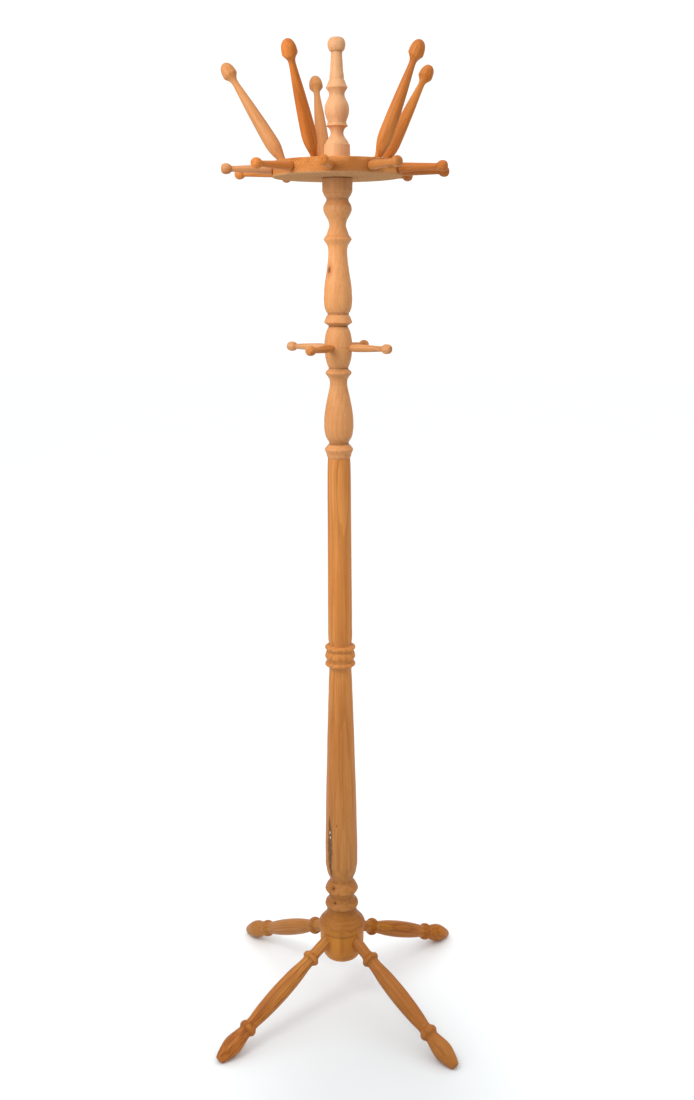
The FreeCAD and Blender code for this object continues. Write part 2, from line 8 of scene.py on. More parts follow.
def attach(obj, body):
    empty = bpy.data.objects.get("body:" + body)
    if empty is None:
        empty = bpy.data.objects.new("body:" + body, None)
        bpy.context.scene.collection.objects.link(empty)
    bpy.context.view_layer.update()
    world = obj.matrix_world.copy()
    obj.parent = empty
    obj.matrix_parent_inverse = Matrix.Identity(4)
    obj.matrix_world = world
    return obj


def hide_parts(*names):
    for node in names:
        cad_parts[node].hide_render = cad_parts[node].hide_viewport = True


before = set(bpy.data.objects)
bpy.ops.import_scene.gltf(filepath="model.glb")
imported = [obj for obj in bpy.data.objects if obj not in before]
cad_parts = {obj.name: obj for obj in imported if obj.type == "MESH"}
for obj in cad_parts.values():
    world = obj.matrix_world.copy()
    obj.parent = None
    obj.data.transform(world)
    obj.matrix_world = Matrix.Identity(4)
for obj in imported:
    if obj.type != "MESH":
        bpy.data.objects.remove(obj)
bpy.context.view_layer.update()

# Turned profiles: (radius, height, sagitta) in mm. The sagitta belongs to the edge that arrives
# at the vertex; they are the same chains that the CAD pieces are revolved from.
LEG = [
    (0, 23.75, 0), (10, 23.75, 0), (11, 24.75, 0), (11, 56.5, 0), (11.2, 59, 0.02),
    (11, 69.75, 0.06), (10.75, 76.75, -0.027), (11, 81.75, -0.098), (12.2, 86.15, -0.066),
    (14.4, 88.15, 0), (16.9, 91.15, 0.156), (17.5, 94.15, 0.188), (16.7, 97.15, 0.187),
    (14.1, 99.95, 0.163), (12.7, 102.15, -0.081), (12.25, 106.75, -0.251), (12.6, 112.75, -0.023),
    (13.5, 121.75, -0.049), (14.6, 130.75, 0), (15.7, 142.75, 0.065), (16.45, 156.75, 0.051),
    (16.95, 171.75, 0.034), (17.1, 187.75, 0.063), (16.8, 201.75, 0.041), (16.3, 214.75, 0.026),
    (15.6, 226.75, 0.037), (14.5, 239.75, 0.037), (13.2, 251.25, 0.073), (12.2, 259.75, -0.124),
    (12.3, 264.15, -0.042), (13.9, 266.35, -0.024), (16.5, 269.75, 0.095), (17.5, 274.15, 0.287),
    (16.7, 277.75, 0.201), (14.5, 280.75, 0.123), (13.4, 282.95, -0.08), (13.2, 285.35, -0.108),
    (14.1, 289.75, -0.099), (15.7, 297.35, 0.049), (17.5, 306.75, 0.054), (18.2, 314.75, 0.137),
    (17.5, 322.75, 0.152), (15.6, 330.75, 0.112), (13.2, 339.15, 0.062), (10.6, 346.55, 0.088),
    (8.5, 350.95, 0.068), (7.7, 352.35, 0), (0, 352.35, 0),
]

HUB = [
    (30, 95, 0), (33.2, 96.2, 0.166), (35.6, 99.6, 0.23), (39.4, 107, 0.072), (42.4, 117, 0.277),
    (43.8, 128, 0.191), (44, 140, 0.095), (44, 157.6, 0), (45.9, 158.6, 0), (47.1, 161, 0.086),
    (47.35, 164, 0.122), (46.9, 168, 0.088), (45.6, 172, 0.1), (44.6, 174.2, 0),
    (43.4, 175, -0.032), (41.4, 177.8, -0.126), (38.6, 181.2, 0.115), (37.4, 182.4, 0),
    (36.6, 183.2, 0), (34.2, 186.2, -0.076), (32, 190, -0.102), (30.6, 194, -0.066),
    (29.9, 194.8, -0.023), (29.7, 200, -0.449), (29.9, 204.6, 0.078), (29.3, 206, 0),
]

LOWER_COLUMN = [
    (0, 150, 0), (13, 150, 0), (14, 151, 0), (14, 206, 0), (29.3, 206, 0), (31.65, 206.8, 0),
    (33.4, 210.4, 0), (32.9, 214, 0.11), (31.35, 217.6, 0.193), (27.15, 221.4, 0.114),
    (25.7, 225.2, -0.112), (24.7, 229.6, -0.13), (26.1, 233.4, -0.03), (28.85, 238.4, 0),
    (33.1, 245, 0.322), (30.75, 251, 0.281), (27.65, 256.8, 0.117), (24.35, 261.4, 0.031),
    (22.75, 265, 0), (24.1, 270.6, -0.043), (27.15, 277.4, -0.097), (29.4, 285.2, 0.06),
    (30.7, 294.6, 0.096), (31.85, 300, 0.027), (31.95, 306, 0.056), (31.85, 320, 0.05),
    (31.95, 345, 0.073), (31.35, 368, 0), (30.7, 396, 0), (30.3, 430, 0), (29.4, 465, 0),
    (28.25, 502, 0.027), (27.1, 537, 0), (26.6, 565, 0), (25.65, 592, 0), (24.85, 615, 0),
    (24.2, 641, 0), (23.1, 666, 0), (22.8, 684, 0), (22.05, 698, 0), (21.5, 708, -0.037),
    (21.3, 711.6, 0), (22.5, 715.6, -0.111), (25.05, 719, -0.203), (28.95, 721.6, 0.12),
    (28.65, 725, 0.238), (25.7, 728.6, 0.142), (25.75, 731.4, 0.039), (26.45, 733.6, 0),
    (28.75, 737, 0.073), (28.7, 741, 0.144), (27.65, 745, 0.038), (25.55, 749.6, -0.029),
    (26.35, 751.6, 0), (29, 755, 0.065), (28.45, 758.6, 0.208), (22.95, 762, 0.177),
    (21.9, 765, -0.117), (22.25, 768.4, -0.137), (22.7, 771.6, 0), (23, 790, 0.169),
    (22.9, 820, -0.083), (22.65, 870, 0.029), (22.3, 925, 0), (22.05, 990, 0.022),
    (21.95, 1050, -0.033), (21.5, 1100, 0.058), (20.8, 1118, 0.053), (20.6, 1120.8, 0),
    (19.9, 1121.6, 0), (12, 1121.6, 0), (12, 1160.6, 0), (11, 1161.6, 0), (0, 1161.6, 0),
]

UPPER_COLUMN = [
    (19.9, 1121.6, 0), (20.6, 1122.4, 0), (22.4, 1126.2, -0.083), (22.85, 1129.8, -0.095),
    (24.4, 1133.4, 0), (26.35, 1138.6, 0.279), (23.2, 1142.6, 0.241), (20.65, 1146.2, 0.135),
    (17.85, 1148.4, -0.061), (18.4, 1151.8, -0.2), (21.1, 1156, -0.195), (23.6, 1160.6, -0.06),
    (24.05, 1162, 0.029), (25.15, 1166.4, 0.199), (26.55, 1174, 0.082), (26.85, 1186, 0.22),
    (26.55, 1197, 0.123), (25.45, 1206, 0.066), (24.05, 1215.6, 0), (22.2, 1224.6, 0.07),
    (21.1, 1231, 0), (19.7, 1236.8, 0), (18.15, 1243.2, 0.056), (16.9, 1249.4, -0.06),
    (15.8, 1255.4, -0.08), (15.8, 1261, -0.072), (16.6, 1266, -0.152), (18.95, 1270.2, -0.184),
    (20.95, 1272.8, -0.045), (22.5, 1274.6, 0.064), (24, 1277.6, 0.189), (21.85, 1281, 0.213),
    (19.1, 1283.2, 0.075), (17.55, 1286, -0.086), (19.4, 1290, -0.183), (20.95, 1294.6, -0.061),
    (22.45, 1299.6, 0), (23.65, 1305, 0.06), (24.35, 1312.5, 0.081), (25.05, 1321.1, 0.061),
    (24.4, 1322, 0), (24.45, 1322.8, 0), (25.2, 1323.7, 0), (25, 1333, 0.051), (23.65, 1342, 0.063),
    (21.85, 1350, 0.182), (19.75, 1355, 0.084), (18.1, 1358.6, -0.084), (16.95, 1360.6, -0.072),
    (19.55, 1363, -0.143), (23.2, 1365.2, -0.099), (25.3, 1367.2, 0.087), (23.95, 1370.8, 0.245),
    (22.6, 1374.2, 0.216), (22.15, 1376.4, 0.094), (20.05, 1379.2, -0.092), (18.7, 1382, -0.115),
    (21.4, 1386, -0.162), (22.95, 1389.6, -0.043), (24.2, 1394, 0.101), (25.05, 1401, 0.16),
    (25.5, 1409, 0.051), (24.9, 1418, 0.066), (24.4, 1427, 0.058), (23.4, 1436, 0.056),
    (22, 1444.6, 0), (20.45, 1454, 0), (19.2, 1463, 0), (18.05, 1471, -0.026), (17.4, 1478, -0.03),
    (16.8, 1485, -0.028), (16.7, 1491.4, -0.055), (17.35, 1496.4, -0.08), (18.75, 1501.2, -0.098),
    (22.05, 1506, -0.061), (25, 1510.6, 0), (23.65, 1513.2, 0.175), (22.75, 1515, 0.085),
    (20.25, 1517.6, -0.028), (18.5, 1522.4, -0.097), (16.55, 1527.6, -0.026), (15, 1532.2, -0.07),
    (14.85, 1536, -0.095), (15.8, 1540.4, -0.115), (17.75, 1545.4, -0.104), (20.8, 1550.4, -0.08),
    (23.2, 1555, 0), (24.95, 1559.6, 0.11), (24.8, 1564.4, 0.181), (23.6, 1569.2, 0.217),
    (21.05, 1573.2, 0.092), (19.4, 1576.6, -0.067), (19.5, 1579.4, -0.125), (21.55, 1582.4, -0.131),
    (24.05, 1586, -0.1), (24.25, 1588.2, -0.022), (25.2, 1588.6, 0), (26.2, 1592, 0),
    (26.4, 1592.8, 0), (26.4, 1601, -0.026), (26.9, 1612.6, -0.052), (25.3, 1614.2, 0),
]

LOWER_PEG = [
    (0, 8, 0), (4.6, 8, 0), (5.3, 9, 0), (5.3, 25.4, 0), (6, 27, 0.029), (6.5, 29.8, 0.091),
    (6.9, 36.8, 0.048), (6.85, 46.5, 0.068), (6.5, 56.5, 0.021), (6, 66.5, 0), (5.4, 76.5, 0),
    (4.95, 84.5, -0.029), (4.85, 88.5, 0), (6.2, 89.9, 0), (7.8, 92.3, 0.107), (8.6, 95.5, 0.127),
    (8.7, 98.5, 0.062), (8.1, 102.1, 0.11), (6.4, 105.3, 0.213), (3.6, 106.9, 0.233),
    (1.7, 107.1, 0.044), (1.1, 106.5, 0), (0, 106.3, 0),
]

RIM_PEG = [
    (0, 90, 0), (4.6, 90, 0), (5.3, 91, 0), (5.3, 113.8, 0), (6.6, 114.4, 0.061),
    (7.7, 116.6, 0.205), (8, 120, 0.091), (7.75, 128, 0.057), (7.25, 138, 0), (6.65, 149, 0),
    (6, 161, 0), (5.4, 172, 0), (4.95, 180, -0.036), (4.9, 184.2, 0), (6.3, 185.6, 0.023),
    (8, 188.2, 0.115), (9, 191.8, 0.134), (9.15, 194.6, 0.068), (8.4, 198, 0.154),
    (6.3, 200.8, 0.229), (3.2, 202, 0.211), (1.7, 202.1, 0), (1.1, 201.5, 0), (0, 201.3, 0),
]

LONG_PEG = [
    (0, -21, 0), (5.2, -21, 0), (6, -20, 0), (6, 4, 0), (6.5, 7, 0), (7.9, 13, -0.065),
    (10.1, 20.6, 0), (11.8, 28, 0.094), (12.7, 36.6, 0.138), (12.75, 44, 0.059), (12.4, 54, 0.027),
    (11.9, 66, 0), (11.2, 80, 0.023), (10.4, 93, 0), (9.6, 106, 0), (8.7, 119, 0.024),
    (7.7, 131, 0), (6.8, 142, 0), (6.1, 151, 0), (5.75, 158, -0.04), (5.9, 162, -0.082),
    (7, 165.8, -0.141), (9.2, 169.4, -0.074), (11.8, 172.8, 0), (12.6, 174.4, 0.06),
    (12.6, 177.6, 0.121), (12.2, 182.6, 0.06), (11.2, 187.4, 0.109), (9.2, 191.8, 0.142),
    (6.2, 195.2, 0.2), (3, 196.9, 0.1), (1.8, 197.1, 0), (1.2, 196.4, 0), (0, 196.1, 0),
]

# Disc: heights above its underside, the lower edge rounded more than the upper one.
DISC = [
    (110.6, 0, 0), (113.8, 3.2, 0.937), (113.8, 24.4, 0), (112.2, 26, 0.469),
]

FINIAL = [
    (0, 1552, 0), (8, 1552, 0), (9, 1553, 0), (9, 1640.6, 0), (22.4, 1640.6, 0),
    (22.7, 1656, 0.08), (22.3, 1668.8, 0.055), (20.4, 1670.4, 0), (19.2, 1673.6, 0.063),
    (15.6, 1678.6, 0.172), (12.4, 1683.4, -0.177), (11.2, 1689, -0.353), (12.6, 1693.6, -0.271),
    (16.2, 1697.6, -0.313), (18.3, 1698.8, -0.035), (19, 1699.7, 0.099), (18.3, 1700.7, 0.113),
    (17.2, 1701.2, 0), (17.3, 1703.4, 0), (16, 1704.2, 0), (16.4, 1707.4, -0.054),
    (18.6, 1713.2, -0.143), (20.6, 1719.5, 0.165), (21.2, 1726, 0.165), (20.4, 1733, 0.218),
    (18.2, 1738.6, 0.179), (15.6, 1743.2, 0), (13.9, 1747.4, -0.107), (13.35, 1750.6, -0.116),
    (13.9, 1753.6, -0.133), (15.6, 1756.8, -0.108), (17.6, 1759.6, -0.022), (18.6, 1761.2, 0.119),
    (18.3, 1763, 0.111), (16.9, 1765.4, -0.026), (15.2, 1769.4, -0.062), (13.6, 1773.6, 0),
    (12.7, 1774.6, -0.053), (12.5, 1777.4, -0.192), (11.8, 1784.4, 0.209), (10.9, 1792.6, -0.106),
    (10.5, 1801, 0), (9.9, 1808, 0), (9.7, 1814, -0.053), (9.8, 1819, 0), (11.8, 1820, 0.04),
    (14.1, 1823.8, 0.2), (15.3, 1829.2, 0.2), (15.1, 1833.4, 0.16), (13.2, 1838, 0.25),
    (9.4, 1841.2, 0.36), (5.2, 1842, 0.12), (0, 1842, 0),
]

MM = 0.001
LIVELY = {"leg_front_right": 0.45, "leg_front_left": 1.25, "leg_rear_left": 0.7, "long_peg_1": 1.2, "long_peg_5": 0.6, "long_peg_4": 0.6}
FIRST = {"leg": 45.0, "low": -26.3, "rim": -3.5}
LEG_DROP = 26.4
LEG_AXIS_Z = 162.0
LOW_Z = 1322.4
RIM_Z = 1627.1
DISC_Z = 1614.4
DISC_T = 26.0
LONG_R = 94.6
LONG = [(-20.66, 32.9, 1.4), (48.78, 28.3, -0.2), (123.01, 29.8, -0.2), (-163.56, 31.6, -1.9), (-97.77, 32.4, -0.9)]


# ------------------------------------------------------------------ placing
def rot_z(deg):
    return Matrix.Rotation(math.radians(deg), 4, "Z")


def aim(azimuth, tilt):
    return rot_z(azimuth - 90) @ Matrix.Rotation(math.radians(tilt), 4, "Y")


def out_vector(azimuth):
    a = math.radians(azimuth)
    return Vector((math.sin(a), -math.cos(a), 0))


def at(p, r=Matrix.Identity(4)):
    return Matrix.Translation(Vector(p) * MM) @ r


# ------------------------------------------------------------------ lathe meshes
def sample_profile(table, soft=0.32, fine=0.9, coarse=7.0, dense=()):
    """Points along the turned profile: arcs are followed closely, corners are eased as a hand with
    abrasive paper leaves them, and long straight runs get sparse rings. dense: (low, high, step)."""
    runs = []
    for k in range(1, len(table)):
        a, b, q = np.array(table[k - 1][:2], float), np.array(table[k][:2], float), table[k][2]
        L = np.linalg.norm(b - a)
        if L < 1e-6:
            continue
        if abs(q) > 1e-6:
            R = L * L / (8 * abs(q)) + abs(q) / 2
            right = np.array([(b - a)[1], -(b - a)[0]]) / L * (1 if q > 0 else -1)
            c = (a + b) / 2 + right * (abs(q) - R)
            t0 = math.atan2(*(a - c)[::-1])
            t1 = math.atan2(*(b - c)[::-1])
            d = (t1 - t0 + math.pi) % (2 * math.pi) - math.pi
            n = max(2, int(math.ceil(abs(d) / math.radians(7))), int(math.ceil(L / 5.0)))
            p = [c + R * np.array([math.cos(t0 + d * i / n), math.sin(t0 + d * i / n)]) for i in range(n + 1)]
            p[0], p[-1] = a, b
        else:
            n = max(1, int(math.ceil(L / coarse)))
            p = [a + (b - a) * i / n for i in range(n + 1)]
        runs.append(np.array(p))
    pts = [v for v in runs[0]]
    for p in runs[1:]:
        c = pts[-1]
        u, v = c - pts[-2], p[1] - p[0]
        lu, lv = np.linalg.norm(u), np.linalg.norm(v)
        turn = math.degrees(math.acos(np.clip(np.dot(u, v) / lu / lv, -1, 1)))
        if turn > 16 and c[0] > 0.05:
            e = min(soft, 0.42 * lu, 0.42 * lv)
            u, v = u / lu, v / lv
            a0, b0 = c - u * e, c + v * e
            pts.pop()
            if lu > 4 * e:
                pts.append(c - u * min(3 * e, lu / 2))
            pts += [a0] + [(1 - s) ** 2 * a0 + 2 * s * (1 - s) * c + s * s * b0 for s in (0.25, 0.5, 0.75)] + [b0]
            if lv > 4 * e:
                pts.append(c + v * min(3 * e, lv / 2))
        pts += [v for v in p[1:]]
    pts = np.array(pts)
    if dense:
        extra = []
        lo, hi, step = dense
        for i in range(len(pts) - 1):
            extra.append(pts[i])
            a, b = pts[i], pts[i + 1]
            if min(a[1], b[1]) < hi and max(a[1], b[1]) > lo and a[0] > 1:
                n = int(np.linalg.norm(b - a) / step)
                for j in range(1, n):
                    extra.append(a + (b - a) * j / n)
        extra.append(pts[-1])
        pts = np.array(extra)
    keep = [0]
    for i in range(1, len(pts)):
        if np.linalg.norm(pts[i] - pts[keep[-1]]) > 0.02:
            keep.append(i)
    return pts[keep]


def concavity(pts):
    """-1 on a proud edge to +1 in a groove, smoothed over about 2 mm of the profile."""
    s = np.r_[0, np.cumsum(np.linalg.norm(np.diff(pts, axis=0), axis=1))]
    u = np.arange(0, s[-1], 0.25)
    x, z = np.interp(u, s, pts[:, 0]), np.interp(u, s, pts[:, 1])
    ang = np.unwrap(np.arctan2(np.gradient(z), np.gradient(x)))
    k = -np.gradient(ang, u)          # travelling up with the wood on the left: turning right is hollow
    out = np.zeros_like(k)
    for w, g in ((3, 0.35), (9, 0.9), (22, 1.6)):
        ker = np.exp(-0.5 * (np.arange(-3 * w, 3 * w + 1) / w) ** 2)
        ker /= ker.sum()
        out += g * np.convolve(k, ker, "same")
    return np.clip(np.interp(s, u, out), -1, 1)


def lathe(name, table, place, body, node, slot, shift=(0, 0, 0), segments=96, soft=0.32, dense=(), angles=None,
          grain=(0, 0, 1), carve=None, closed=False, paint=None):
    pts = sample_profile(table, soft=soft, dense=dense)
    cav = concavity(pts)
    if closed:
        pts, cav = pts[:-1], cav[:-1]
    th = np.radians(np.arange(segments) * 360.0 / segments) if angles is None else np.radians(np.array(angles))
    n = len(th)
    co, faces, cavs, norm = [], [], [], []
    ring = []
    t = np.gradient(pts, axis=0)
    t /= np.maximum(np.linalg.norm(t, axis=1, keepdims=True), 1e-9)
    for i, (r, z) in enumerate(pts):
        if r < 0.02:
            ring.append([len(co)])
            co.append((0, 0, z))
            cavs.append(cav[i])
            norm.append((0, 0, -1 if i == 0 else 1))
        else:
            ring.append(list(range(len(co), len(co) + n)))
            co += [(r * math.cos(a), r * math.sin(a), z) for a in th]
            cavs += [cav[i]] * n
            norm += [(t[i, 1] * math.cos(a), t[i, 1] * math.sin(a), -t[i, 0]) for a in th]
    pairs = list(zip(ring[:-1], ring[1:]))
    if closed:
        pairs.append((ring[-1], ring[0]))
    for p, q in pairs:
        if len(p) == 1 and len(q) == 1:
            continue
        if len(p) == 1:
            faces += [(p[0], q[(j + 1) % n], q[j]) for j in range(n)]
        elif len(q) == 1:
            faces += [(p[j], p[(j + 1) % n], q[0]) for j in range(n)]
        else:
            faces += [(p[j], p[(j + 1) % n], q[(j + 1) % n], q[j]) for j in range(n)]
    co = np.array(co, float)
    norm = np.array(norm, float)
    cavs = np.array(cavs, float)
    painted = paint(co) if paint is not None else {}
    if carve is not None:
        co, cavs = carve(co, norm, cavs)
    me = bpy.data.meshes.new(name)
    me.from_pydata([tuple(v) for v in co * MM], [], faces)
    me.update()
    me.shade_smooth()
    loc = me.attributes.new("gloc", "FLOAT_VECTOR", "POINT")
    loc.data.foreach_set("vector", (co * MM + np.array(shift)).astype(np.float32).ravel())
    g = np.array(grain, float)
    endg = np.abs(norm @ (g / np.linalg.norm(g))) ** 2
    # masks for grooves, proud edges and end grain; the groove mask carries painted shade
    w = me.attributes.new("gwear", "FLOAT_COLOR", "POINT")
    w.data.foreach_set("color", np.stack([np.clip(cavs, 0, 1), np.clip(-cavs, 0, 1), endg, np.ones(len(co))], 1).astype(np.float32).ravel())
    c = me.attributes.new("gtone", "FLOAT_COLOR", "POINT")
    tone = np.tile(np.array([*TONE[node], LIVELY.get(node, 1.0)], np.float32), (len(co), 1))
    # the factors by height multiplied in here are painted light and shade
    if node in LIGHT_AND_SHADE_Z:
        for ch in range(3):
            tone[:, ch] *= np.interp(co[:, 2], [row[0] for row in LIGHT_AND_SHADE_Z[node]], [row[1 + ch] for row in LIGHT_AND_SHADE_Z[node]])
    c.data.foreach_set("color", tone.ravel())
    for key, rgb in painted.items():
        a = me.attributes.new(key, "FLOAT_COLOR", "POINT")
        a.data.foreach_set("color", np.concatenate([rgb, np.ones((len(rgb), 1))], 1).astype(np.float32).ravel())
    me.transform(place)
    o = bpy.data.objects.new(name, me)
    bpy.context.scene.collection.objects.link(o)
    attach(o, body)
    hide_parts(node)
    me.materials.append(MATERIALS[slot])
    return o
# colour of each kind of wood and of each piece, as factors
GAIN = {"leg": (0.758, 0.72, 0.366), "hub": (0.84, 0.793, 0.438), "shaft": (0.936, 0.924, 0.788), "column": (0.846, 0.801, 0.752), "disc": (1.11, 1.14, 1.22), "peg": (0.819, 0.792, 0.672), "finial": (0.798, 0.749, 0.727)}
TONE = {
    "leg_front_right": (0.859, 0.811, 1.09), "leg_rear_right": (1.03, 0.984, 0.62), "leg_rear_left": (0.982, 1.06, 1.69),
    "leg_front_left": (1.15, 1.18, 1.68), "leg_hub": (1, 1, 1), "lower_column": (1, 1, 1),
    "upper_column": (1, 1, 1), "lower_peg_1": (1.1, 1.13, 1.14), "lower_peg_2": (1.16, 1.46, 2.25),
    "lower_peg_3": (1.06, 1.08, 1.1), "lower_peg_4": (1.08, 1.39, 2.17), "crown_disc": (1, 1, 1),
    "rim_peg_1": (1.01, 0.922, 0.62), "rim_peg_2": (0.856, 0.827, 0.756), "rim_peg_3": (0.965, 0.819, 0.62),
    "rim_peg_4": (0.902, 0.81, 0.631), "rim_peg_5": (0.873, 0.784, 0.61), "rim_peg_6": (0.99, 0.889, 0.692),
    "rim_peg_7": (0.941, 0.845, 0.658), "rim_peg_8": (1.03, 0.924, 0.719), "rim_peg_9": (1.02, 1.28, 2.17),
    "rim_peg_10": (1.05, 0.917, 0.717), "long_peg_1": (1.03, 0.87, 0.62), "long_peg_2": (1.02, 0.973, 0.851),
    "long_peg_3": (1.14, 1.13, 0.923), "long_peg_4": (0.909, 0.983, 1.17), "long_peg_5": (0.963, 1.07, 1.38),
    "finial": (1, 1, 1),
}
# painted light and shade along the hub and the columns, as factors on the colour: darker low on the lower column and
# under the collar, where less light falls, with some of the wood's own change of tone: height, red, green, blue
LIGHT_AND_SHADE_Z = {
    "lower_column": [
        (206, 0.725, 0.725, 0.725), (225, 0.75, 0.75, 0.75), (290, 0.8, 0.8, 0.8), (380, 0.875, 0.875, 0.875), (490, 0.95, 0.95, 0.95),
        (600, 1.025, 1.025, 1.025), (700, 1.1, 1.1, 1.1), (765, 1.15, 1.15, 1.15), (830, 1.187, 1.187, 1.187), (940, 1.187, 1.187, 1.187),
        (1050, 1.137, 1.137, 1.137), (1121, 1.1, 1.1, 1.1),
    ],
    "upper_column": [
        (1122, 1.028, 1.028, 1.028), (1250, 0.9861, 0.9861, 0.9861), (1350, 0.9722, 0.9722, 0.9722), (1420, 1.056, 1.056, 1.056), (1500, 1.139, 1.139, 1.139),
        (1560, 0.9722, 0.9722, 0.9722), (1590, 0.8611, 0.8611, 0.8611), (1614, 0.8056, 0.8056, 0.8056),
    ],
    "leg_hub": [
        (95, 1.31, 1.33, 1.32), (152, 1.31, 1.33, 1.32), (162, 1.08, 1.08, 1.1), (172, 0.87, 0.85, 0.95), (206, 0.82, 0.79, 0.92),
    ],
}


# ------------------------------------------------------------------ wood
class Tree:
    """Small helper to write shader nodes."""

    def __init__(self, mat):
        self.t = mat.node_tree
        self.x = 0

    def node(self, kind, **props):
        n = self.t.nodes.new(kind)
        self.x += 40
        n.location = (self.x, 0)
        for k, v in props.items():
            setattr(n, k, v)
        return n

    def put(self, socket, value):
        if isinstance(value, bpy.types.NodeSocket):
            self.t.links.new(value, socket)
        elif value is not None:
            socket.default_value = value

    def math(self, op, a, b=None, c=None, clamp=False):
        n = self.node("ShaderNodeMath", operation=op, use_clamp=clamp)
        for i, v in enumerate((a, b, c)):
            self.put(n.inputs[i], v)
        return n.outputs[0]

    def vec(self, op, a, b=None, scale=None):
        n = self.node("ShaderNodeVectorMath", operation=op)
        self.put(n.inputs[0], a)
        if b is not None:
            self.put(n.inputs[1], b)
        if scale is not None:
            self.put(n.inputs["Scale"], scale)
        return n.outputs["Value"] if op in ("LENGTH", "DOT_PRODUCT", "DISTANCE") else n.outputs["Vector"]

    def noise(self, p, stretch=1.0, detail=2.0, rough=0.5, color=False):
        n = self.node("ShaderNodeTexNoise")
        n.noise_dimensions = "3D"
        if isinstance(stretch, tuple):
            p, stretch = self.vec("MULTIPLY", p, stretch), 1.0
        self.put(n.inputs["Vector"], p)
        n.inputs["Scale"].default_value = stretch
        n.inputs["Detail"].default_value = detail
        n.inputs["Roughness"].default_value = rough
        return n.outputs["Color" if color else "Fac"]

    def ramp(self, v, stops):
        n = self.node("ShaderNodeValToRGB")
        e = n.color_ramp.elements
        while len(e) < len(stops):
            e.new(0.5)
        for el, (pos, grey) in zip(e, stops):
            el.position = pos
            el.color = (grey, grey, grey, 1)
        self.put(n.inputs[0], v)
        return n.outputs[0]

    def span(self, v, a, b, c=0.0, d=1.0, smooth=True):
        n = self.node("ShaderNodeMapRange")
        n.interpolation_type = "SMOOTHSTEP" if smooth else "LINEAR"
        n.clamp = True
        self.put(n.inputs[0], v)
        for i, k in enumerate((a, b, c, d), 1):
            n.inputs[i].default_value = k
        return n.outputs[0]

    def mix(self, f, a, b, blend="MIX"):
        n = self.node("ShaderNodeMix", data_type="RGBA", blend_type=blend)
        n.clamp_factor = True
        self.put(n.inputs[0], f)
        self.put(n.inputs[6], a if isinstance(a, bpy.types.NodeSocket) else (*a, 1))
        self.put(n.inputs[7], b if isinstance(b, bpy.types.NodeSocket) else (*b, 1))
        return n.outputs[2]

    def times(self, a, b):
        return self.math("MULTIPLY", a, b)


def shade(c, k):
    return tuple(v * k for v in c)


def srgb(r, g, b):
    f = lambda c: (c / 255) / 12.92 if c / 255 <= 0.04045 else ((c / 255 + 0.055) / 1.055) ** 2.4
    return (f(r), f(g), f(b))


